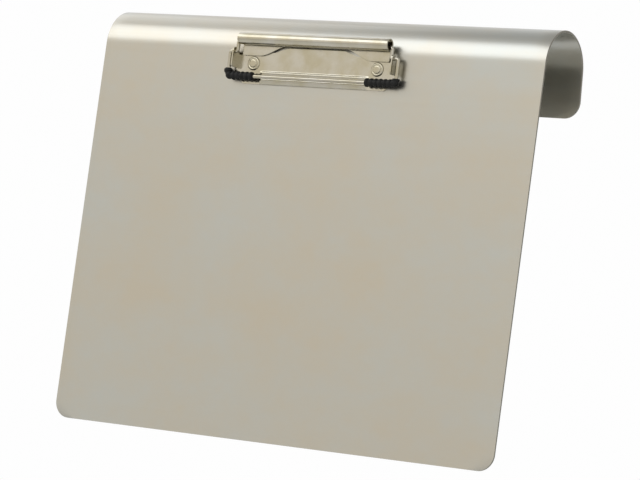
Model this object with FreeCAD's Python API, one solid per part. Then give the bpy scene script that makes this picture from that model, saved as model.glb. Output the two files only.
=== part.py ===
import FreeCAD, Part

import math
import os

# Landscape sheet-metal clipboard with a half-round hook along its whole top edge and a
# low wire clip riveted to its front. Units are millimetres. The origin is the centre of
# the hook's bend at mid-width, +X runs along the hook, +Y goes to the back and +Z is up.

# Board: one bent sheet.
BOARD_WIDTH = 305.0
SHEET = 1.2
HOOK_OUTER_R = 22.5
HOOK_SWEEP_DEG = 174.5
PANEL_BOTTOM_Z = -229.1
FLANGE_LENGTH = 26.0
CORNER_R = 10.0

# How far a cutting tool runs past what it cuts.
CUT_MARGIN = 1.0

# Clip position on the board, and heights measured outward from the board's front face.
CLIP_X = 1.0
FRONT_Y = -HOOK_OUTER_R
PLATE_T = 0.8
PLATE_HALF = 55.6
PLATE_TOP_Z = -1.6
TONGUE_FOOT_HALF = 28.5
TONGUE_TOP_HALF = 18.0
TONGUE_TOP_Z = 1.8
PLATE_SHOULDER_Z = -13.5
PLATE_FRONT_Z = -20.7
LIP_HALF = 50.0
LIP_CHAMFER_Z = -17.0
LIP_CORNER_R = 1.5
BEAD_HALF = 37.0
BEAD_START_Z = -12.6
BEAD_T = 0.7
BEAD_LINE = [(-12.6, 0.8), (-13.8, 1.45), (-15.2, 1.15), (-16.6, 0.95),
             (-18.3, 1.7), (-19.6, 1.35), (-20.7, 0.95)]

# Ears folded up from the plate's ends.
EAR_LOW_Z = -11.6
EAR_TOP_R = 2.5
EAR_LOW_R = 1.4

# Pivot, where the wire crosses the ears.
PIVOT_Z = -2.2
PIVOT_H = 4.0
PIVOT_CLEARANCE = 0.07

# Wire bail.
WIRE_R = 1.1
WIRE_END_X = 43.0
WIRE_LEG_X = 53.4
WIRE_ARM_X = 58.3
WIRE_END_Z = 4.1
WIRE_FRONT_Z = -16.7
WIRE_FRONT_H = 3.6
WIRE_TIGHT_BEND_R = 1.3
WIRE_CORNER_R = 2.7

# Lever: a web low over the board, rolled forward into a tube.
ROLL_R = 3.6
ROLL_Z = 5.5
ROLL_H = 4.8
ROLL_HALF = 52.0
ROLL_SWEEP_DEG = 292.0
LEVER_T = 0.8
WEB_HALF = 51.0
WEB_LOBE_Z = -4.0
WEB_LOBE_X = 39.0
WEB_ARCH_X = 18.0
WEB_ARCH_Z = 3.0
WEB_CORNER_R = 1.2

# Rubber sleeves on the bail's front corners.
SLEEVE_R = 2.25
SLEEVE_RIDGE_R = 2.65
SLEEVE_RIDGE_BEAD = 0.62
SLEEVE_GRIP = 0.02
SLEEVE_RIDGE_PITCH = 3.1
SLEEVE_RIDGE_INSET = 1.2
LEFT_SLEEVE_START = 40.3
LEFT_SLEEVE_TOP_Z = -12.3
RIGHT_SLEEVE_START = 37.9
RIGHT_SLEEVE_TOP_Z = -13.8

# Rivets.
RIVET_SPACING = 86.0
RIVET_Z = -8.5
RIVET_R = 1.9
RIVET_HOLE_CLEARANCE = 0.03
RIVET_HEAD_R = 4.2
RIVET_HEAD_PROFILE = [(4.2, 0.18), (3.85, 0.5), (3.1, 0.82), (2.75, 0.66), (2.4, 0.86)]
RIVET_DOME_H = 1.2
RIVET_TAIL_R = 3.3
RIVET_TAIL_T = 0.85
RIVET_TAIL_RIM = 0.3


def clip_point(x, height, z):
    """A point from its distance along the clip, its height off the board and its z."""
    return FreeCAD.Vector(CLIP_X + x, FRONT_Y - height, z)


def line(start, end):
    return Part.LineSegment(start, end).toShape()


def arc(start, middle, end):
    return Part.Arc(start, middle, end).toShape()


def face_of(edges):
    return Part.Face(Part.Wire(edges))


def bent_path(points, radii):
    """Straight runs joined by tangent arcs, one radius for each inner point."""
    edges = []
    start = points[0]
    for index, radius in enumerate(radii):
        corner = points[index + 1]
        back = (points[index] - corner).normalize()
        ahead = (points[index + 2] - corner).normalize()
        half_angle = back.getAngle(ahead) / 2
        entry = corner + back * (radius / math.tan(half_angle))
        leave = corner + ahead * (radius / math.tan(half_angle))
        inward = (back + ahead).normalize()
        middle = corner + inward * (radius / math.sin(half_angle) - radius)
        edges.append(line(start, entry))
        edges.append(arc(entry, middle, leave))
        start = leave
    edges.append(line(start, points[-1]))
    return Part.Wire(edges)


def sweep_circle(path, radius):
    """A round rod of the given radius along a path."""
    first = path.OrderedEdges[0]
    start = first.valueAt(first.FirstParameter)
    direction = first.tangentAt(first.FirstParameter)
    if (start - path.OrderedVertexes[0].Point).Length > 1e-6:
        start = first.valueAt(first.LastParameter)
        direction = first.tangentAt(first.LastParameter) * -1
    ring = Part.Wire(Part.makeCircle(radius, start, direction))
    return path.makePipeShell([ring], True, False)


def hook_point(radius, angle):
    return FreeCAD.Vector(0, radius * math.cos(angle), radius * math.sin(angle))


def board_section():
    """The bent sheet's cross-section, on the plane x = 0."""
    inner_r = HOOK_OUTER_R - SHEET
    end = math.pi - math.radians(HOOK_SWEEP_DEG)
    middle = (math.pi + end) / 2
    down = FreeCAD.Vector(0, math.sin(end), -math.cos(end)) * FLANGE_LENGTH
    outer_low = FreeCAD.Vector(0, -HOOK_OUTER_R, PANEL_BOTTOM_Z)
    inner_low = FreeCAD.Vector(0, -inner_r, PANEL_BOTTOM_Z)
    outer_start = hook_point(HOOK_OUTER_R, math.pi)
    inner_start = hook_point(inner_r, math.pi)
    outer_end = hook_point(HOOK_OUTER_R, end)
    inner_end = hook_point(inner_r, end)
    return face_of([
        line(outer_low, outer_start),
        arc(outer_start, hook_point(HOOK_OUTER_R, middle), outer_end),
        line(outer_end, outer_end + down),
        line(outer_end + down, inner_end + down),
        line(inner_end + down, inner_end),
        arc(inner_end, hook_point(inner_r, middle), inner_start),
        line(inner_start, inner_low),
        line(inner_low, outer_low),
    ])


def corner_cutter(side, low_z, y_from, y_to):
    """What a rounded lower corner removes from a plate that spans y_from to y_to."""
    depth = y_to - y_from
    half = BOARD_WIDTH / 2
    size = CORNER_R + CUT_MARGIN
    x_low = half - CORNER_R if side > 0 else -half - CUT_MARGIN
    block = Part.makeBox(size, depth, size, FreeCAD.Vector(x_low, y_from, low_z - CUT_MARGIN))
    centre = FreeCAD.Vector(side * (half - CORNER_R), y_from, low_z + CORNER_R)
    round_end = Part.makeCylinder(CORNER_R, depth, centre, FreeCAD.Vector(0, 1, 0))
    return block.cut(round_end)


def make_board():
    half = BOARD_WIDTH / 2
    section = board_section()
    section.translate(FreeCAD.Vector(-half, 0, 0))
    sheet = section.extrude(FreeCAD.Vector(BOARD_WIDTH, 0, 0))
    box = sheet.BoundBox
    end = math.pi - math.radians(HOOK_SWEEP_DEG)
    flange_z = HOOK_OUTER_R * math.sin(end) - FLANGE_LENGTH * math.cos(end)
    for side in (-1, 1):
        sheet = sheet.cut(corner_cutter(side, PANEL_BOTTOM_Z, box.YMin - CUT_MARGIN, 0))
        sheet = sheet.cut(corner_cutter(side, flange_z, 0, box.YMax + CUT_MARGIN))
    for side in (-1, 1):
        sheet = sheet.cut(rivet_hole(side))
    return sheet


def rivet_hole(side):
    """A hole through the board and the clip's plate for one rivet."""
    start = clip_point(side * RIVET_SPACING / 2, PLATE_T + CUT_MARGIN, RIVET_Z)
    depth = PLATE_T + SHEET + 2 * CUT_MARGIN
    radius = RIVET_R + RIVET_HOLE_CLEARANCE
    return Part.makeCylinder(radius, depth, start, FreeCAD.Vector(0, 1, 0))


def plate_outline():
    """The base plate's outline, as points from the centre of the clip."""
    return [(-PLATE_HALF, PLATE_TOP_Z), (-TONGUE_FOOT_HALF, PLATE_TOP_Z),
            (-TONGUE_TOP_HALF, TONGUE_TOP_Z), (TONGUE_TOP_HALF, TONGUE_TOP_Z),
            (TONGUE_FOOT_HALF, PLATE_TOP_Z), (PLATE_HALF, PLATE_TOP_Z),
            (PLATE_HALF, PLATE_SHOULDER_Z), (LIP_HALF, LIP_CHAMFER_Z),
            (LIP_HALF, PLATE_FRONT_Z), (-LIP_HALF, PLATE_FRONT_Z),
            (-LIP_HALF, LIP_CHAMFER_Z), (-PLATE_HALF, PLATE_SHOULDER_Z)]


def make_flat_plate():
    corners = [clip_point(x, 0, z) for x, z in plate_outline()]
    corners.append(corners[0])
    plate = Part.Face(Part.makePolygon(corners)).extrude(FreeCAD.Vector(0, -PLATE_T, 0))
    upright = []
    for edge in plate.Edges:
        low = edge.BoundBox.ZMin < LIP_CHAMFER_Z + 0.5
        if edge.BoundBox.YLength > PLATE_T / 2 and low:
            upright.append(edge)
    plate = plate.makeFillet(LIP_CORNER_R, upright)
    room = clip_point(-BEAD_HALF, PLATE_T + CUT_MARGIN, PLATE_FRONT_Z - CUT_MARGIN)
    depth = BEAD_START_Z - PLATE_FRONT_Z + CUT_MARGIN
    height = PLATE_T + 2 * CUT_MARGIN
    return plate.cut(Part.makeBox(2 * BEAD_HALF, height, depth, room))


def make_bead():
    """The plate's wavy front lip, between the two sleeves."""
    outer = [clip_point(-BEAD_HALF, height, z) for z, height in BEAD_LINE]
    inner = [clip_point(-BEAD_HALF, height - BEAD_T, z) for z, height in BEAD_LINE]
    top = Part.BSplineCurve()
    top.interpolate(outer)
    below = Part.BSplineCurve()
    below.interpolate(inner)
    section = face_of([top.toShape(), line(outer[-1], inner[-1]),
                       below.toShape(), line(inner[0], outer[0])])
    return section.extrude(FreeCAD.Vector(2 * BEAD_HALF, 0, 0))


def make_ear(side):
    """One ear, with the hole that the wire crosses."""
    inside = PLATE_HALF - PLATE_T
    start_x = inside if side > 0 else -PLATE_HALF
    crown = PIVOT_H + EAR_TOP_R
    lean = EAR_TOP_R * math.sqrt(0.5)
    tuck = EAR_LOW_R * (1 - math.sqrt(0.5))

    def at(height, z):
        return clip_point(start_x, height, z)

    outline = face_of([
        line(at(0, EAR_LOW_Z), at(crown - EAR_LOW_R, EAR_LOW_Z)),
        arc(at(crown - EAR_LOW_R, EAR_LOW_Z), at(crown - tuck, EAR_LOW_Z + tuck),
            at(crown, EAR_LOW_Z + EAR_LOW_R)),
        line(at(crown, EAR_LOW_Z + EAR_LOW_R), at(crown, PIVOT_Z)),
        arc(at(crown, PIVOT_Z), at(PIVOT_H + lean, PIVOT_Z + lean),
            at(PIVOT_H, PIVOT_Z + EAR_TOP_R)),
        line(at(PIVOT_H, PIVOT_Z + EAR_TOP_R), at(PIVOT_H - EAR_TOP_R, PLATE_TOP_Z)),
        line(at(PIVOT_H - EAR_TOP_R, PLATE_TOP_Z), at(0, PLATE_TOP_Z)),
        line(at(0, PLATE_TOP_Z), at(0, EAR_LOW_Z)),
    ])
    ear = outline.extrude(FreeCAD.Vector(PLATE_T, 0, 0))
    hole_start = clip_point(start_x - CUT_MARGIN, PIVOT_H, PIVOT_Z)
    hole_r = WIRE_R + PIVOT_CLEARANCE
    length = PLATE_T + 2 * CUT_MARGIN
    hole = Part.makeCylinder(hole_r, length, hole_start, FreeCAD.Vector(1, 0, 0))
    return ear.cut(hole)


def make_clip_base():
    base = make_flat_plate().fuse(make_bead())
    for side in (-1, 1):
        base = base.fuse(make_ear(side))
    for side in (-1, 1):
        base = base.cut(rivet_hole(side))
    return base.removeSplitter()


def wire_points():
    """The bail's corners from its left end, through the front, to its right end."""
    half = [(WIRE_END_X, PIVOT_H, WIRE_END_Z), (WIRE_LEG_X, PIVOT_H, WIRE_END_Z),
            (WIRE_LEG_X, PIVOT_H, PIVOT_Z), (WIRE_ARM_X, PIVOT_H, PIVOT_Z),
            (WIRE_ARM_X, WIRE_FRONT_H, WIRE_FRONT_Z)]
    left = [clip_point(-x, height, z) for x, height, z in half]
    right = [clip_point(x, height, z) for x, height, z in reversed(half)]
    return left + right


def make_wire_bail():
    tight = [WIRE_TIGHT_BEND_R] * 3
    path = bent_path(wire_points(), tight + [WIRE_CORNER_R] * 2 + tight)
    return sweep_circle(path, WIRE_R)


def make_web():
    """The lever's low web with a lobe at each end and an arch between them."""
    rise = WEB_ARCH_Z - WEB_LOBE_Z
    run = WEB_LOBE_X - WEB_ARCH_X
    bend_r = (run * run + rise * rise) / (4 * rise)
    half_turn = math.asin(run / 2 / bend_r) / 2
    dx = bend_r * math.sin(half_turn)
    dz = bend_r * (1 - math.cos(half_turn))
    back = ROLL_H - ROLL_R

    def at(x, z):
        return clip_point(x, back, z)

    edges = [line(at(-WEB_HALF, ROLL_Z), at(WEB_HALF, ROLL_Z))]
    edges.append(line(at(WEB_HALF, ROLL_Z), at(WEB_HALF, WEB_LOBE_Z)))
    edges.append(line(at(WEB_HALF, WEB_LOBE_Z), at(WEB_LOBE_X, WEB_LOBE_Z)))
    middle_x = (WEB_LOBE_X + WEB_ARCH_X) / 2
    middle_z = (WEB_LOBE_Z + WEB_ARCH_Z) / 2
    for side in (1, -1):
        lobe = at(side * WEB_LOBE_X, WEB_LOBE_Z)
        low = at(side * (WEB_LOBE_X - dx), WEB_LOBE_Z + dz)
        centre = at(side * middle_x, middle_z)
        high = at(side * (WEB_ARCH_X + dx), WEB_ARCH_Z - dz)
        arch = at(side * WEB_ARCH_X, WEB_ARCH_Z)
        edges.append(arc(lobe, low, centre))
        edges.append(arc(centre, high, arch))
    edges.append(line(at(WEB_ARCH_X, WEB_ARCH_Z), at(-WEB_ARCH_X, WEB_ARCH_Z)))
    edges.append(line(at(-WEB_LOBE_X, WEB_LOBE_Z), at(-WEB_HALF, WEB_LOBE_Z)))
    edges.append(line(at(-WEB_HALF, WEB_LOBE_Z), at(-WEB_HALF, ROLL_Z)))
    outline = Part.Face(Part.Wire(Part.__sortEdges__(edges)))
    web = outline.extrude(FreeCAD.Vector(0, -LEVER_T, 0))
    lobes = []
    for edge in web.Edges:
        box = edge.BoundBox
        outermost = abs(box.Center.x - CLIP_X) > WEB_HALF - 0.1
        if box.YLength > LEVER_T / 2 and outermost and box.ZMax < WEB_ARCH_Z:
            lobes.append(edge)
    return web.makeFillet(WEB_CORNER_R, lobes)


def make_roll():
    """The rolled tube, open along a slit that faces down and back."""
    inner_r = ROLL_R - LEVER_T
    sweep = math.radians(ROLL_SWEEP_DEG)

    def at(radius, turn):
        angle = math.pi - turn
        height = ROLL_H + radius * math.cos(angle)
        return clip_point(-ROLL_HALF, height, ROLL_Z + radius * math.sin(angle))

    section = face_of([
        arc(at(ROLL_R, 0), at(ROLL_R, sweep / 2), at(ROLL_R, sweep)),
        line(at(ROLL_R, sweep), at(inner_r, sweep)),
        arc(at(inner_r, sweep), at(inner_r, sweep / 2), at(inner_r, 0)),
        line(at(inner_r, 0), at(ROLL_R, 0)),
    ])
    return section.extrude(FreeCAD.Vector(2 * ROLL_HALF, 0, 0))


def make_lever():
    return make_roll().fuse(make_web()).removeSplitter()


def ridge(centre, direction):
    major = SLEEVE_RIDGE_R - SLEEVE_RIDGE_BEAD
    return Part.makeTorus(major, SLEEVE_RIDGE_BEAD, centre, direction)


def make_sleeve(side, start_x, top_z):
    """A ridged sleeve along the bail's front span, round its corner and up to top_z."""
    corner = clip_point(side * WIRE_ARM_X, WIRE_FRONT_H, WIRE_FRONT_Z)
    start = clip_point(side * start_x, WIRE_FRONT_H, WIRE_FRONT_Z)
    pivot = clip_point(side * WIRE_ARM_X, PIVOT_H, PIVOT_Z)
    up = pivot - corner
    end = corner + up * ((top_z - WIRE_FRONT_Z) / (PIVOT_Z - WIRE_FRONT_Z))
    path = bent_path([start, corner, end], [WIRE_CORNER_R])
    tube = sweep_circle(path, SLEEVE_R)
    straight = WIRE_ARM_X - WIRE_CORNER_R - start_x
    count = int((straight - SLEEVE_RIDGE_INSET) / SLEEVE_RIDGE_PITCH) + 1
    outward = FreeCAD.Vector(side, 0, 0)
    for index in range(count):
        offset = SLEEVE_RIDGE_INSET + index * SLEEVE_RIDGE_PITCH
        tube = tube.fuse(ridge(start + outward * offset, outward))
    bend = path.OrderedEdges[1]
    centre = bend.Curve.Center
    middle = centre + (corner - centre).normalize() * WIRE_CORNER_R
    tube = tube.fuse(ridge(middle, (outward + up.normalize()).normalize()))
    bore_path = bent_path([start - outward, corner, end + up.normalize()], [WIRE_CORNER_R])
    return tube.cut(sweep_circle(bore_path, WIRE_R + SLEEVE_GRIP))


def cap_drop(radius, rise):
    """How far a spherical cap has fallen from its top at half its radius."""
    sphere_r = (radius * radius + rise * rise) / (2 * rise)
    return sphere_r - math.sqrt(sphere_r * sphere_r - radius * radius / 4)


def make_rivet(side):
    """A domed rivet: head on the plate, shank through both sheets, tail on the back."""
    tail_z = -(PLATE_T + SHEET)

    def at(radius, depth):
        return FreeCAD.Vector(radius, depth, 0)

    head = [at(radius, height) for radius, height in RIVET_HEAD_PROFILE]
    edges = [line(at(RIVET_R, 0), at(RIVET_HEAD_R, 0)), line(at(RIVET_HEAD_R, 0), head[0])]
    for first, second in zip(head, head[1:]):
        edges.append(line(first, second))
    dome = RIVET_DOME_H
    dome_r, dome_foot = RIVET_HEAD_PROFILE[-1]
    dome_drop = cap_drop(dome_r, dome - dome_foot)
    edges.append(arc(head[-1], at(dome_r / 2, dome - dome_drop), at(0, dome)))
    edges.append(line(at(0, dome), at(0, tail_z - RIVET_TAIL_T)))
    tail_low = tail_z - RIVET_TAIL_T
    tail_edge = at(RIVET_TAIL_R, tail_z - RIVET_TAIL_RIM)
    tail_drop = cap_drop(RIVET_TAIL_R, RIVET_TAIL_T - RIVET_TAIL_RIM)
    edges.append(arc(at(0, tail_low), at(RIVET_TAIL_R / 2, tail_low + tail_drop), tail_edge))
    edges.append(line(tail_edge, at(RIVET_TAIL_R, tail_z)))
    edges.append(line(at(RIVET_TAIL_R, tail_z), at(RIVET_R, tail_z)))
    edges.append(line(at(RIVET_R, tail_z), at(RIVET_R, 0)))
    origin = FreeCAD.Vector(0, 0, 0)
    rivet = face_of(edges).revolve(origin, FreeCAD.Vector(0, 1, 0), 360)
    rivet.rotate(origin, FreeCAD.Vector(0, 0, 1), 180)
    rivet.translate(clip_point(side * RIVET_SPACING / 2, PLATE_T, RIVET_Z))
    return rivet


def export(name, shape):
    solid = shape.Solids[0] if len(shape.Solids) == 1 else shape
    print(name, len(shape.Solids), shape.isValid(), round(solid.Volume, 1), shape.BoundBox)
    solid.exportStep("parts/" + name + ".step")


def main():
    os.makedirs("parts", exist_ok=True)
    export("board", make_board())
    export("clip_base", make_clip_base())
    export("rivet_left", make_rivet(-1))
    export("rivet_right", make_rivet(1))
    export("lever", make_lever())
    export("wire_bail", make_wire_bail())
    export("sleeve_left", make_sleeve(-1, LEFT_SLEEVE_START, LEFT_SLEEVE_TOP_Z))
    export("sleeve_right", make_sleeve(1, RIGHT_SLEEVE_START, RIGHT_SLEEVE_TOP_Z))


main()
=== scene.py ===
import math

import bmesh
import bpy
from mathutils import Matrix, Vector


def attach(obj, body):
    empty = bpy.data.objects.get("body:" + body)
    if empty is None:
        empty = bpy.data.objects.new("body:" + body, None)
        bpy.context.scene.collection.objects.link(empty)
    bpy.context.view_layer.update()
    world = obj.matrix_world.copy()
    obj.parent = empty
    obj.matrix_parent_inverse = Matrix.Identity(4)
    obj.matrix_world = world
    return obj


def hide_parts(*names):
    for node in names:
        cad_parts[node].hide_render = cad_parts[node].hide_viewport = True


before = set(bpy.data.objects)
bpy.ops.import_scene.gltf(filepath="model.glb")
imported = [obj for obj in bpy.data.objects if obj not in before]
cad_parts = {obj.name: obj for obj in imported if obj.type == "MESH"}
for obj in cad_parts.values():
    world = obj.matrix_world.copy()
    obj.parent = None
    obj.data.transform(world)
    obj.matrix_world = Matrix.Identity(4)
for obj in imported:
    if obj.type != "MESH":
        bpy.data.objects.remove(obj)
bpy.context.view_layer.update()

MM = 0.001

# Board, metres.
BOARD_HALF = 0.1525
SHEET = 0.0012
HOOK_MID_R = 0.0219
HOOK_SWEEP = math.radians(174.5)
PANEL_BOTTOM = -0.2291
FLANGE = 0.026
CORNER_R = 0.010
FRONT_Y = -0.0225
BOARD_BEVEL = 0.00022

# The clip is in millimetres: x from its centre line, height off the board's face, and z.
CLIP_X = 1.0

# Clip base: a plate with a tongue at its top and a wavy lip along its front.
PLATE_T = 0.8
PLATE_HALF = 55.6
PLATE_TOP_Z = -1.6
TONGUE_FOOT_HALF = 28.5
TONGUE_TOP_HALF = 18.0
TONGUE_TOP_Z = 1.8
SHOULDER_Z = -13.5
LIP_TAPER_Z = -17.0
LIP_HALF = 50.0
LIP_FRONT_Z = -20.7
LIP_CORNER_R = 1.5
# The lip's outer face, as (z, height), and the half length over which it is raised.
LIP_LINE = [(-12.6, 0.8), (-13.8, 1.4), (-15.2, 1.15), (-16.6, 0.95), (-18.3, 1.65),
            (-19.6, 1.35), (-20.7, 0.95)]
BEAD_HALF = 38.2
BEAD_FADE = 2.4
# The plate is a little thinner than its solid, so that it stays inside it.
PLATE_INSET = 0.02
PLATE_VISIBLE_T = 0.74
PLATE_BEVEL = 0.13

# Ears, folded up from the plate's ends round the pivot.
PIVOT_H = 4.0
PIVOT_Z = -2.2
PIVOT_CLEARANCE = 0.07
EAR_FOOT_H = 0.05
EAR_LOW_Z = -11.6
EAR_TOP_R = 2.5
EAR_LOW_R = 1.4
EAR_BEVEL = 0.12

# Lever: a rolled tube with a web under it.
LEVER_T = 0.8
ROLL_R = 3.6
ROLL_Z = 5.5
ROLL_H = 4.8
ROLL_HALF = 52.0
ROLL_SWEEP = math.radians(292)
ROLL_BEVEL = 0.16
WEB_HALF = 51.0
WEB_TOP_Z = 5.3
WEB_ARCH_X = 18.0
WEB_ARCH_Z = 3.0
WEB_LOBE_X = 39.0
WEB_LOBE_Z = -4.0
WEB_CORNER_R = 1.2
WEB_BEVEL = 0.14

# Wire bail, from inside the tube, out through the ears, to the front span.
WIRE_R = 1.1
WIRE_END_X = 43.0
WIRE_END_Z = 4.1
WIRE_INNER_X = 53.4
WIRE_ARM_X = 58.3
SPAN_H = 3.6
SPAN_Z = -16.7
WIRE_BEND_R = 1.3
WIRE_CORNER_R = 2.7
WIRE_TIP = 0.25
WIRE_TIP_STEP = 0.2

# Ridged rubber sleeves on the front corners.
SLEEVE_R = 2.1
SLEEVE_PITCH = 3.1
SLEEVE_FIRST_RING = 1.2
RING_RISE = 0.55
RING_HALF_LENGTH = 1.05
SLEEVE_LIP = 0.35
LEFT_SLEEVE_START_X = 40.3
LEFT_SLEEVE_TOP_Z = -12.3
RIGHT_SLEEVE_START_X = 37.9
RIGHT_SLEEVE_TOP_Z = -13.8

# Rivets.
RIVET_X = 43.0
RIVET_Z = -8.5
RIVET_CROWN = 1.18
RIVET_SHANK_R = 1.9
RIVET_TAIL_FROM = -2.0
RIVET_TAIL_R = 3.3
RIVET_TAIL_END = -2.85

# Sockets of a colour Mix node, by index.
MIX_FACTOR = 0
MIX_FIRST = 6
MIX_SECOND = 7
MIX_RESULT = 2


def at(x, height, z):
    """A point of the clip, in metres."""
    return Vector(((CLIP_X + x) * MM, FRONT_Y - height * MM, z * MM))


def ease(part):
    """0 to 1 with a soft start and end."""
    return part * part * (3 - 2 * part)


def steps(start, end, count):
    """Evenly spaced values from start to end, with count gaps between them."""
    return [start + (end - start) * i / count for i in range(count + 1)]


# ---------------------------------------------------------------- materials


def new_material(name, color, metallic, roughness):
    """A Principled material; gives its node tree, its shader and its object coordinates."""
    material = bpy.data.materials.new(name)
    material.use_nodes = True
    tree = material.node_tree
    shader = tree.nodes["Principled BSDF"]
    shader.inputs["Base Color"].default_value = (*color, 1)
    shader.inputs["Metallic"].default_value = metallic
    shader.inputs["Roughness"].default_value = roughness
    coords = tree.nodes.new("ShaderNodeTexCoord").outputs["Object"]
    return material, tree, shader, coords


def stretched_noise(tree, coords, stretch, scale, detail=4.0, roughness=0.5):
    """Noise whose pattern is squeezed along each axis by stretch."""
    mapping = tree.nodes.new("ShaderNodeMapping")
    mapping.inputs["Scale"].default_value = stretch
    tree.links.new(coords, mapping.inputs["Vector"])
    noise = tree.nodes.new("ShaderNodeTexNoise")
    noise.inputs["Scale"].default_value = scale
    noise.inputs["Detail"].default_value = detail
    noise.inputs["Roughness"].default_value = roughness
    tree.links.new(mapping.outputs["Vector"], noise.inputs["Vector"])
    return noise.outputs["Fac"]


def to_range(tree, value, low, high, start=0.3, end=0.7):
    """The value's start to end spread over low to high."""
    remap = tree.nodes.new("ShaderNodeMapRange")
    remap.inputs["From Min"].default_value = start
    remap.inputs["From Max"].default_value = end
    remap.inputs["To Min"].default_value = low
    remap.inputs["To Max"].default_value = high
    tree.links.new(value, remap.inputs["Value"])
    return remap.outputs["Result"]


def blend_colors(tree, factor, first, second):
    """First colour to second over the middle of the factor's range."""
    ramp = tree.nodes.new("ShaderNodeValToRGB")
    ramp.color_ramp.elements[0].color = (*first, 1)
    ramp.color_ramp.elements[1].color = (*second, 1)
    ramp.color_ramp.elements[0].position = 0.35
    ramp.color_ramp.elements[1].position = 0.65
    tree.links.new(factor, ramp.inputs["Fac"])
    return ramp.outputs["Color"]


def add_bump(tree, shader, height, strength, distance):
    bump = tree.nodes.new("ShaderNodeBump")
    bump.inputs["Strength"].default_value = strength
    bump.inputs["Distance"].default_value = distance
    tree.links.new(height, bump.inputs["Height"])
    tree.links.new(bump.outputs["Normal"], shader.inputs["Normal"])


def satin_metal():
    """Warm satin sheet metal: fine brushing along x, faint cloudy patches."""
    material, tree, shader, coords = new_material("satin_sheet", (0.5, 0.48, 0.42), 1.0, 0.3)
    clouds = stretched_noise(tree, coords, (1, 1, 1.3), 12.0, 10.0, 0.7)
    color = blend_colors(tree, clouds, (0.499, 0.464, 0.392), (0.476, 0.483, 0.456))
    tree.links.new(color, shader.inputs["Base Color"])
    grain = stretched_noise(tree, coords, (6, 900, 900), 1.0, 3.0)
    rough = to_range(tree, grain, 0.28, 0.33)
    tree.links.new(rough, shader.inputs["Roughness"])
    add_bump(tree, shader, grain, 0.02, 0.00003)
    return material


def sheared_edge():
    """The sheet's cut edge: duller and darker than its faces."""
    material, tree, shader, coords = new_material("sheared_edge", (0.2, 0.19, 0.16), 1.0, 0.45)
    shear = stretched_noise(tree, coords, (1, 1, 1), 900.0, 3.0)
    tree.links.new(to_range(tree, shear, 0.38, 0.55), shader.inputs["Roughness"])
    add_bump(tree, shader, shear, 0.2, 0.00004)
    return material


def nickel_plate(name, color, roughness):
    """Bright plated steel with fine handling marks."""
    material, tree, shader, coords = new_material(name, color, 1.0, roughness)
    marks = stretched_noise(tree, coords, (1, 1, 1), 320.0, 6.0)
    rough = to_range(tree, marks, roughness * 0.7, roughness * 1.7)
    tree.links.new(rough, shader.inputs["Roughness"])
    stain = (color[0] * 0.88, color[1] * 0.85, color[2] * 0.74)
    stains = stretched_noise(tree, coords, (1, 1, 1), 90.0, 3.0)
    tint = blend_colors(tree, stains, stain, color)
    tree.links.new(tint, shader.inputs["Base Color"])
    add_bump(tree, shader, marks, 0.08, 0.00003)
    return material


def black_rubber():
    """Dull black rubber with a fine uneven skin."""
    material, tree, shader, coords = new_material("black_rubber", (0.012, 0.012, 0.013), 0.0, 0.5)
    skin = stretched_noise(tree, coords, (1, 1, 1), 2200.0, 4.0)
    shader.inputs["Specular IOR Level"].default_value = 0.22
    dust = stretched_noise(tree, coords, (1, 1, 1), 350.0, 3.0)
    tint = blend_colors(tree, dust, (0.004, 0.004, 0.004), (0.011, 0.011, 0.011))
    tree.links.new(tint, shader.inputs["Base Color"])
    tree.links.new(to_range(tree, skin, 0.42, 0.62), shader.inputs["Roughness"])
    add_bump(tree, shader, skin, 0.25, 0.00005)
    return material


# ---------------------------------------------------------------- mesh helpers


def mesh_object(name, verts, faces, material):
    """A smooth-shaded mesh object with its double points merged and its normals outward."""
    mesh = bpy.data.meshes.new(name)
    mesh.from_pydata([tuple(v) for v in verts], [], faces)
    mesh.materials.append(material)
    work = bmesh.new()
    work.from_mesh(mesh)
    bmesh.ops.remove_doubles(work, verts=work.verts, dist=1e-7)
    bmesh.ops.recalc_face_normals(work, faces=work.faces)
    work.to_mesh(mesh)
    work.free()
    for face in mesh.polygons:
        face.use_smooth = True
    obj = bpy.data.objects.new(name, mesh)
    bpy.context.collection.objects.link(obj)
    return obj


def grid_faces(rows, columns, closed=False):
    """Quads over a grid of points that is stored row by row."""
    faces = []
    last = columns if closed else columns - 1
    for row in range(rows - 1):
        for column in range(last):
            a = row * columns + column
            b = row * columns + (column + 1) % columns
            faces.append((a, b, b + columns, a + columns))
    return faces


def apply_modifiers(obj):
    bpy.context.view_layer.update()
    graph = bpy.context.evaluated_depsgraph_get()
    mesh = bpy.data.meshes.new_from_object(obj.evaluated_get(graph))
    obj.modifiers.clear()
    obj.data = mesh


def thicken(obj, thickness, offset, bevel):
    """Turns a surface into sheet metal; its rim takes the second material, if it has one."""
    solid = obj.modifiers.new("thickness", "SOLIDIFY")
    solid.material_offset_rim = len(obj.data.materials) - 1
    solid.thickness = thickness
    solid.offset = offset
    solid.use_even_offset = True
    round_off(obj, bevel)


def round_off(obj, bevel):
    """Rounds the sharp edges and applies every modifier."""
    edge = obj.modifiers.new("edges", "BEVEL")
    edge.width = bevel
    edge.segments = 3
    edge.limit_method = "ANGLE"
    edge.angle_limit = math.radians(50)
    edge.harden_normals = False
    apply_modifiers(obj)
    for face in obj.data.polygons:
        face.use_smooth = True
    obj.data.set_sharp_from_angle(angle=math.radians(48))


def join(name, parts):
    """One mesh object out of several."""
    work = bmesh.new()
    for part in parts:
        work.from_mesh(part.data)
    mesh = bpy.data.meshes.new(name)
    work.to_mesh(mesh)
    work.free()
    mesh.materials.append(parts[0].data.materials[0])
    obj = bpy.data.objects.new(name, mesh)
    bpy.context.collection.objects.link(obj)
    for part in parts:
        bpy.data.objects.remove(part)
    return obj


# ---------------------------------------------------------------- paths and tubes


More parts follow.
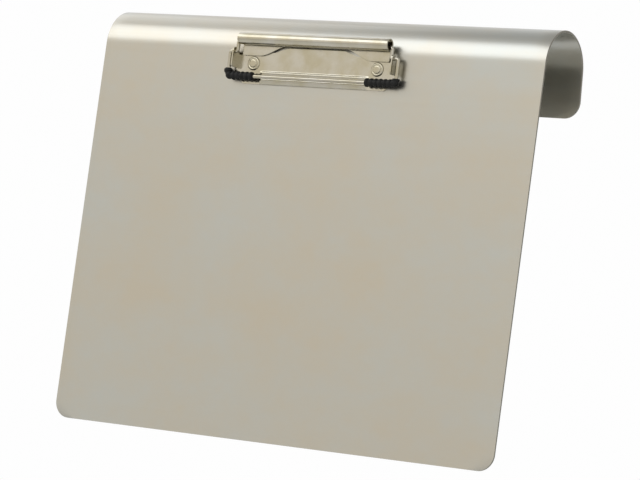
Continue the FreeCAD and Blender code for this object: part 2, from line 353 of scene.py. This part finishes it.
def bent_path(points, radii, arc_steps=14):
    """Points along straight runs joined by tangent arcs."""
    path = [points[0]]
    for index, radius in enumerate(radii):
        corner = points[index + 1]
        back = (points[index] - corner).normalized()
        ahead = (points[index + 2] - corner).normalized()
        half_angle = back.angle(ahead) / 2
        reach = radius / math.tan(half_angle)
        centre = corner + (back + ahead).normalized() * (radius / math.sin(half_angle))
        first = corner + back * reach - centre
        last = corner + ahead * reach - centre
        normal = first.cross(last).normalized()
        turn = first.angle(last)
        for step in range(arc_steps + 1):
            spin = Matrix.Rotation(turn * step / arc_steps, 3, normal)
            path.append(centre + spin @ first)
    path.append(points[-1])
    return path


def resample(path, spacing):
    """The same path with no gap between points longer than spacing."""
    fine = [path[0]]
    for start, end in zip(path, path[1:]):
        count = max(1, math.ceil((end - start).length / spacing))
        fine += [start.lerp(end, i / count) for i in range(1, count + 1)]
    return fine


def path_length(path):
    return sum((b - a).length for a, b in zip(path, path[1:]))


def tube(name, path, radius_at, material, sides=28):
    """A tube along a path; radius_at gives its radius at a distance along the path."""
    tangents = []
    for index in range(len(path)):
        before = path[max(index - 1, 0)]
        after = path[min(index + 1, len(path) - 1)]
        tangents.append((after - before).normalized())
    up = Vector((0, 0, 1)) if abs(tangents[0].z) < 0.9 else Vector((0, 1, 0))
    side = tangents[0].cross(up).normalized()
    verts = []
    travelled = 0.0
    for index, point in enumerate(path):
        if index:
            travelled += (point - path[index - 1]).length
            bend = tangents[index - 1].rotation_difference(tangents[index])
            side = (bend @ side).normalized()
        other = tangents[index].cross(side)
        radius = radius_at(travelled)
        for step in range(sides):
            angle = 2 * math.pi * step / sides
            out = side * (radius * math.cos(angle)) + other * (radius * math.sin(angle))
            verts.append(point + out)
    faces = grid_faces(len(path), sides, closed=True)
    faces.append(tuple(reversed(range(sides))))
    faces.append(tuple(range(len(verts) - sides, len(verts))))
    obj = mesh_object(name, verts, faces, material)
    obj.data.set_sharp_from_angle(angle=math.radians(60))
    return obj


def lathe(name, profile, centre, material, sides=48):
    """A turned shape on an axis along y; profile is (radius, distance towards -y)."""
    verts = []
    for radius, out in profile:
        for step in range(sides):
            angle = 2 * math.pi * step / sides
            offset = Vector((radius * math.cos(angle), -out, radius * math.sin(angle)))
            verts.append(centre + offset * MM)
    obj = mesh_object(name, verts, grid_faces(len(profile), sides, closed=True), material)
    obj.data.set_sharp_from_angle(angle=math.radians(55))
    return obj


# ---------------------------------------------------------------- board


def sheet_line():
    """The bent sheet's middle line, as (distance along it, y, z)."""
    line = [(z - PANEL_BOTTOM, -HOOK_MID_R, z) for z in steps(PANEL_BOTTOM, 0, 60)]
    panel = -PANEL_BOTTOM
    for turn in steps(0, HOOK_SWEEP, 96)[1:]:
        angle = math.pi - turn
        y = HOOK_MID_R * math.cos(angle)
        line.append((panel + HOOK_MID_R * turn, y, HOOK_MID_R * math.sin(angle)))
    bend = panel + HOOK_MID_R * HOOK_SWEEP
    end = math.pi - HOOK_SWEEP
    start_y, start_z = line[-1][1], line[-1][2]
    for run in steps(0, FLANGE, 24)[1:]:
        line.append((bend + run, start_y + run * math.sin(end), start_z - run * math.cos(end)))
    return line


def with_corner_rows(line):
    """The line with rows close together where the corners are rounded."""
    total = line[-1][0]
    wanted = [CORNER_R * (1 - math.cos(a)) for a in steps(0, math.pi / 2, 14)]
    stations = sorted({round(s, 7) for s, _, _ in line if CORNER_R < s < total - CORNER_R}
                      | {round(w, 7) for w in wanted} | {round(total - w, 7) for w in wanted})
    rows = []
    for station in stations:
        for (s0, y0, z0), (s1, y1, z1) in zip(line, line[1:]):
            if s0 - 1e-7 <= station <= s1 + 1e-7:
                part = (station - s0) / (s1 - s0)
                rows.append((station, y0 + (y1 - y0) * part, z0 + (z1 - z0) * part))
                break
    return rows


def half_width(station, total):
    """Half the sheet's width at a distance along it, less in the rounded corners."""
    edge = min(station, total - station)
    if edge >= CORNER_R:
        return BOARD_HALF
    return BOARD_HALF - CORNER_R + math.sqrt(max(CORNER_R**2 - (CORNER_R - edge) ** 2, 0))


def make_board(material, rim_material):
    rows = with_corner_rows(sheet_line())
    total = rows[-1][0]
    columns = 33
    verts = []
    for station, y, z in rows:
        half = half_width(station, total)
        verts += [Vector((x, y, z)) for x in steps(-half, half, columns - 1)]
    board = mesh_object("board_sheet", verts, grid_faces(len(rows), columns), material)
    board.data.materials.append(rim_material)
    thicken(board, SHEET, 0.0, BOARD_BEVEL)
    return board


# ---------------------------------------------------------------- clip base


def lip_height(z):
    """How far the plate's outer face stands off the board along its wavy front lip."""
    if z >= LIP_LINE[0][0]:
        return PLATE_T
    for (z0, h0), (z1, h1) in zip(LIP_LINE, LIP_LINE[1:]):
        if z >= z1:
            return h0 + (h1 - h0) * ease((z - z0) / (z1 - z0))
    return LIP_LINE[-1][1]


def plate_half(z):
    """Half the plate's width: a tongue at the top, then full, then the tapered lip."""
    if z > PLATE_TOP_Z:
        up = (z - PLATE_TOP_Z) / (TONGUE_TOP_Z - PLATE_TOP_Z)
        return TONGUE_FOOT_HALF - (TONGUE_FOOT_HALF - TONGUE_TOP_HALF) * up
    if z >= SHOULDER_Z:
        return PLATE_HALF
    if z >= LIP_TAPER_Z:
        up = (z - LIP_TAPER_Z) / (SHOULDER_Z - LIP_TAPER_Z)
        return LIP_HALF + (PLATE_HALF - LIP_HALF) * up
    inset = max(LIP_FRONT_Z + LIP_CORNER_R - z, 0)
    return LIP_HALF - LIP_CORNER_R + math.sqrt(max(LIP_CORNER_R**2 - inset**2, 0))


def plate_levels():
    """The plate's rows in z, close together on the lip and where the tongue starts."""
    lip_top = -12.4
    levels = steps(LIP_FRONT_Z, lip_top, 44) + steps(lip_top, PLATE_TOP_Z, 12)[1:]
    return levels + [-1.5, -1.4] + steps(-1.3, TONGUE_TOP_Z, 5)


def make_plate(material):
    levels = plate_levels()
    across = steps(-1, 1, 150)
    verts = []
    for z in levels:
        for part in across:
            x = part * plate_half(z)
            raised = ease(min(max((BEAD_HALF - abs(x)) / BEAD_FADE, 0), 1))
            height = PLATE_T + (lip_height(z) - PLATE_T) * raised
            verts.append(at(x, height - PLATE_INSET, z))
    plate = mesh_object("plate", verts, grid_faces(len(levels), len(across)), material)
    offset = 1.0 if faces_board(plate) else -1.0
    thicken(plate, PLATE_VISIBLE_T * MM, offset, PLATE_BEVEL * MM)
    return plate


def faces_board(obj):
    """True when the surface's normals point at the board, which is towards +y."""
    return obj.data.polygons[len(obj.data.polygons) // 2].normal.y > 0


def ear_corners():
    """The ear's closed outline, as (height, z), with its two rounded corners."""
    low_h = PIVOT_H + EAR_TOP_R - EAR_LOW_R
    low_z = EAR_LOW_Z + EAR_LOW_R
    root = [(EAR_FOOT_H, EAR_LOW_Z)]
    root += [(low_h + EAR_LOW_R * math.sin(a), low_z - EAR_LOW_R * math.cos(a))
             for a in steps(0, math.pi / 2, 10)]
    crown = [(PIVOT_H + EAR_TOP_R * math.cos(a), PIVOT_Z + EAR_TOP_R * math.sin(a))
             for a in steps(0, math.pi / 2, 16)]
    foot = [(PIVOT_H - EAR_TOP_R, PLATE_TOP_Z), (EAR_FOOT_H, PLATE_TOP_Z)]
    return root + crown + foot + root[:1]


def ear_outline(count=160):
    """The ear's outline as count evenly spaced points, one for each point of its hole."""
    closed = ear_corners()
    lengths = [0.0]
    for first, second in zip(closed, closed[1:]):
        lengths.append(lengths[-1] + math.dist(first, second))
    outline = []
    for target in steps(0, lengths[-1], count)[:-1]:
        index = max(i for i in range(len(closed) - 1) if lengths[i] <= target + 1e-9)
        part = (target - lengths[index]) / (lengths[index + 1] - lengths[index])
        first, second = closed[index], closed[index + 1]
        outline.append((first[0] + (second[0] - first[0]) * part,
                        first[1] + (second[1] - first[1]) * part))
    return outline


def make_ear(side, material):
    x = side * (PLATE_HALF - PLATE_T / 2)
    hole_r = WIRE_R + PIVOT_CLEARANCE
    outline = ear_outline()
    verts = [at(x, height, z) for height, z in outline]
    for height, z in outline:
        angle = math.atan2(z - PIVOT_Z, height - PIVOT_H)
        hole_h = PIVOT_H + hole_r * math.cos(angle)
        verts.append(at(x, hole_h, PIVOT_Z + hole_r * math.sin(angle)))
    ear = mesh_object("ear", verts, grid_faces(2, len(outline), closed=True), material)
    thicken(ear, PLATE_T * MM, 0.0, EAR_BEVEL * MM)
    return ear


# ---------------------------------------------------------------- lever


def web_low(x):
    """The web's lower edge: a lobe at each end and an arch between them."""
    distance = abs(x)
    if distance <= WEB_ARCH_X:
        return WEB_ARCH_Z
    if distance < WEB_LOBE_X:
        part = (distance - WEB_ARCH_X) / (WEB_LOBE_X - WEB_ARCH_X)
        return WEB_ARCH_Z + (WEB_LOBE_Z - WEB_ARCH_Z) * ease(part)
    corner = max(distance - (WEB_HALF - WEB_CORNER_R), 0)
    return WEB_LOBE_Z + WEB_CORNER_R - math.sqrt(max(WEB_CORNER_R**2 - corner**2, 0))


def make_web(material):
    inner = WEB_HALF - WEB_CORNER_R
    columns = steps(-WEB_HALF, -inner, 6) + steps(-inner, inner, 200)[1:]
    columns += steps(inner, WEB_HALF, 6)[1:]
    rows = 11
    height = ROLL_H - ROLL_R + LEVER_T / 2
    verts = []
    for part in steps(0, 1, rows - 1):
        for x in columns:
            low = web_low(x)
            verts.append(at(x, height, low + (WEB_TOP_Z - low) * part))
    web = mesh_object("web", verts, grid_faces(rows, len(columns)), material)
    thicken(web, LEVER_T * MM, 0.0, WEB_BEVEL * MM)
    return web


def make_roll(material):
    middle_r = ROLL_R - LEVER_T / 2
    rows = 73
    columns = 25
    verts = []
    for turn in steps(0, ROLL_SWEEP, rows - 1):
        angle = math.pi - turn
        height = ROLL_H + middle_r * math.cos(angle)
        z = ROLL_Z + middle_r * math.sin(angle)
        verts += [at(x, height, z) for x in steps(-ROLL_HALF, ROLL_HALF, columns - 1)]
    roll = mesh_object("roll", verts, grid_faces(rows, columns), material)
    thicken(roll, LEVER_T * MM, 0.0, ROLL_BEVEL * MM)
    return roll


# ---------------------------------------------------------------- bail, sleeves, rivets


def bail_points():
    """The wire's corners, from its left end in the tube to its right end."""
    half = [(WIRE_END_X, PIVOT_H, WIRE_END_Z), (WIRE_INNER_X, PIVOT_H, WIRE_END_Z),
            (WIRE_INNER_X, PIVOT_H, PIVOT_Z), (WIRE_ARM_X, PIVOT_H, PIVOT_Z),
            (WIRE_ARM_X, SPAN_H, SPAN_Z)]
    return [at(-x, h, z) for x, h, z in half] + [at(x, h, z) for x, h, z in reversed(half)]


def make_bail(material):
    bends = [WIRE_BEND_R * MM] * 3
    radii = bends + [WIRE_CORNER_R * MM] * 2 + bends
    path = resample(bent_path(bail_points(), radii), 2 * MM)
    length = path_length(path)

    def radius_at(travelled):
        tip = min(travelled, length - travelled) / (WIRE_TIP * MM)
        return (WIRE_R - (WIRE_TIP_STEP if tip < 1 else 0.0)) * MM

    return tube("bail", path, radius_at, material)


def make_sleeve(name, side, start_x, top_z, material):
    """A sleeve round a front corner: start_x is its inner end, top_z its end on the arm."""
    corner = at(side * WIRE_ARM_X, SPAN_H, SPAN_Z)
    pivot = at(side * WIRE_ARM_X, PIVOT_H, PIVOT_Z)
    end = corner + (pivot - corner) * ((top_z - SPAN_Z) / (PIVOT_Z - SPAN_Z))
    corners = [at(side * start_x, SPAN_H, SPAN_Z), corner, end]
    path = resample(bent_path(corners, [WIRE_CORNER_R * MM], 24), 0.16 * MM)
    length = path_length(path)
    pitch = SLEEVE_PITCH * MM

    def radius_at(travelled):
        phase = (travelled - SLEEVE_FIRST_RING * MM) / pitch
        near = abs(phase - round(phase)) * pitch / MM
        ring = math.sqrt(max(1 - (near / RING_HALF_LENGTH) ** 2, 0)) * RING_RISE
        lip = min(travelled, length - travelled) / MM
        rounding = SLEEVE_LIP * (1 - min(lip / SLEEVE_LIP, 1)) ** 2
        return (SLEEVE_R + ring - rounding) * MM

    return tube(name, path, radius_at, material, 40)


def rivet_profile():
    """Head, then shank and tail, from the head's crown to the tail's crown."""
    head = [(0.001, RIVET_CROWN)]
    head += [(r, RIVET_CROWN - 0.012 * r**3.2) for r in steps(0.3, 2.3, 8)]
    ring = [(2.42, 0.84), (2.52, 0.66), (2.66, 0.58), (2.84, 0.62), (3.0, 0.76), (3.2, 0.84),
            (3.5, 0.8), (3.8, 0.62), (4.05, 0.36), (4.18, 0.2), (4.2, 0.1), (4.18, 0.0)]
    tail = [(RIVET_SHANK_R, 0.0), (RIVET_SHANK_R, RIVET_TAIL_FROM), (3.24, RIVET_TAIL_FROM),
            (RIVET_TAIL_R, -2.06), (RIVET_TAIL_R, -2.25)]
    dome = [(r, RIVET_TAIL_END + 0.051 * r * r) for r in steps(3.2, 0.2, 10)]
    return head + ring + tail + dome + [(0.001, RIVET_TAIL_END)]


def make_rivet(name, side, material):
    return lathe(name, rivet_profile(), at(side * RIVET_X, PLATE_T, RIVET_Z), material)


# ---------------------------------------------------------------- studio


def add_card(name, centre, facing, width, height, strength, color):
    """A soft light: a rectangle at centre that shines towards facing."""
    light = bpy.data.lights.new(name, "AREA")
    light.shape = "RECTANGLE"
    light.size = width
    light.size_y = height
    light.energy = strength
    light.color = color
    obj = bpy.data.objects.new(name, light)
    obj.location = centre
    aim = Vector(facing) - Vector(centre)
    obj.rotation_euler = aim.to_track_quat("-Z", "Y").to_euler()
    bpy.context.collection.objects.link(obj)


def studio_world(horizon, warm, overhead):
    """Even light all round, a little warm from the front left, darker overhead."""
    world = bpy.data.worlds.new("studio")
    world.use_nodes = True
    tree = world.node_tree
    coords = tree.nodes.new("ShaderNodeTexCoord")
    split = tree.nodes.new("ShaderNodeSeparateXYZ")
    tree.links.new(coords.outputs["Generated"], split.inputs["Vector"])
    ramp = tree.nodes.new("ShaderNodeValToRGB")
    ramp.color_ramp.interpolation = "EASE"
    ramp.color_ramp.elements[0].position = 0.6
    ramp.color_ramp.elements[0].color = (*horizon, 1)
    ramp.color_ramp.elements[1].position = 0.93
    ramp.color_ramp.elements[1].color = (*overhead, 1)
    tree.links.new(split.outputs["Z"], ramp.inputs["Fac"])
    towards = tree.nodes.new("ShaderNodeVectorMath")
    towards.operation = "DOT_PRODUCT"
    towards.inputs[1].default_value = (-0.54, -0.84, 0.0)
    tree.links.new(coords.outputs["Generated"], towards.inputs[0])
    amount = to_range(tree, towards.outputs["Value"], 0.0, 1.0, 0.1, 0.85)
    tint = tree.nodes.new("ShaderNodeMix")
    tint.data_type = "RGBA"
    tint.blend_type = "MULTIPLY"
    tint.inputs[MIX_SECOND].default_value = (*warm, 1)
    tree.links.new(amount, tint.inputs[MIX_FACTOR])
    tree.links.new(ramp.outputs["Color"], tint.inputs[MIX_FIRST])
    tree.links.new(tint.outputs[MIX_RESULT], tree.nodes["Background"].inputs["Color"])
    bpy.context.scene.world = world


def add_floor():
    size = 6.0
    z = -0.9
    verts = [(-size, -size, z), (size, -size, z), (size, size, z), (-size, size, z)]
    material, tree, shader, coords = new_material("floor_paint", (0.86, 0.86, 0.85), 0.0, 0.8)
    mottle = stretched_noise(tree, coords, (1, 1, 1), 3.0, 3.0)
    color = blend_colors(tree, mottle, (0.855, 0.855, 0.845), (0.88, 0.88, 0.875))
    tree.links.new(color, shader.inputs["Base Color"])
    floor = mesh_object("floor", verts, [(0, 1, 2, 3)], material)


def add_camera():
    """A long lens from the front right and below, slightly rolled."""
    right = Vector((0.8360, 0.5322, 0.1337)).normalized()
    up = Vector((-0.0726, -0.1342, 0.9883))
    back = right.cross(up).normalized()
    up = back.cross(right).normalized()
    camera = bpy.data.cameras.new("camera")
    camera.lens = 177.13
    camera.sensor_width = 36.0
    camera.clip_end = 50.0
    obj = bpy.data.objects.new("camera", camera)
    turn = Matrix((right, up, back)).transposed().to_4x4()
    obj.matrix_world = Matrix.Translation((1.0068, -1.5388, -0.2425)) @ turn
    bpy.context.collection.objects.link(obj)
    bpy.context.scene.camera = obj


def build():
    """Makes the eight pieces, ties each to its body and hides the CAD part of its node."""
    satin = satin_metal()
    plated = nickel_plate("nickel_plate", (0.53, 0.505, 0.435), 0.15)
    wire = nickel_plate("nickel_wire", (0.48, 0.455, 0.395), 0.13)
    rubber = black_rubber()

    board = make_board(satin, sheared_edge())
    base = join("clip_plate", [make_plate(plated), make_ear(-1, plated), make_ear(1, plated)])
    rivets = [make_rivet("rivet_l", -1, plated), make_rivet("rivet_r", 1, plated)]
    lever = join("clip_lever", [make_roll(plated), make_web(plated)])
    bail = make_bail(wire)
    left = make_sleeve("rubber_l", -1, LEFT_SLEEVE_START_X, LEFT_SLEEVE_TOP_Z, rubber)
    right = make_sleeve("rubber_r", 1, RIGHT_SLEEVE_START_X, RIGHT_SLEEVE_TOP_Z, rubber)

    places = [
        (board, "board", "board", "board_metal"),
        (base, "board", "clip_base", "clip_plate"),
        (rivets[0], "board", "rivet_left", "rivet_metal"),
        (rivets[1], "board", "rivet_right", "rivet_metal"),
        (lever, "clip", "lever", "lever_plate"),
        (bail, "clip", "wire_bail", "bail_wire"),
        (left, "clip", "sleeve_left", "sleeve_rubber"),
        (right, "clip", "sleeve_right", "sleeve_rubber"),
    ]
    for obj, body, node, finish in places:
        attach(obj, body)
        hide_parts(node)


build()
add_floor()
add_camera()
studio_world((0.99, 0.99, 0.99), (0.985, 0.94, 0.865), (0.52, 0.52, 0.51))
add_card("high_front", (-0.7, -1.05, 0.92), (0, 0, 0), 2.2, 1.0, 9.5, (0.9, 0.94, 1.0))
add_card("high_left", (-0.52, 0.13, 0.5), (-0.1, 0, 0), 0.4, 0.42, 0.28, (0.95, 0.97, 1.0))
bpy.context.scene.view_settings.view_transform = "Standard"
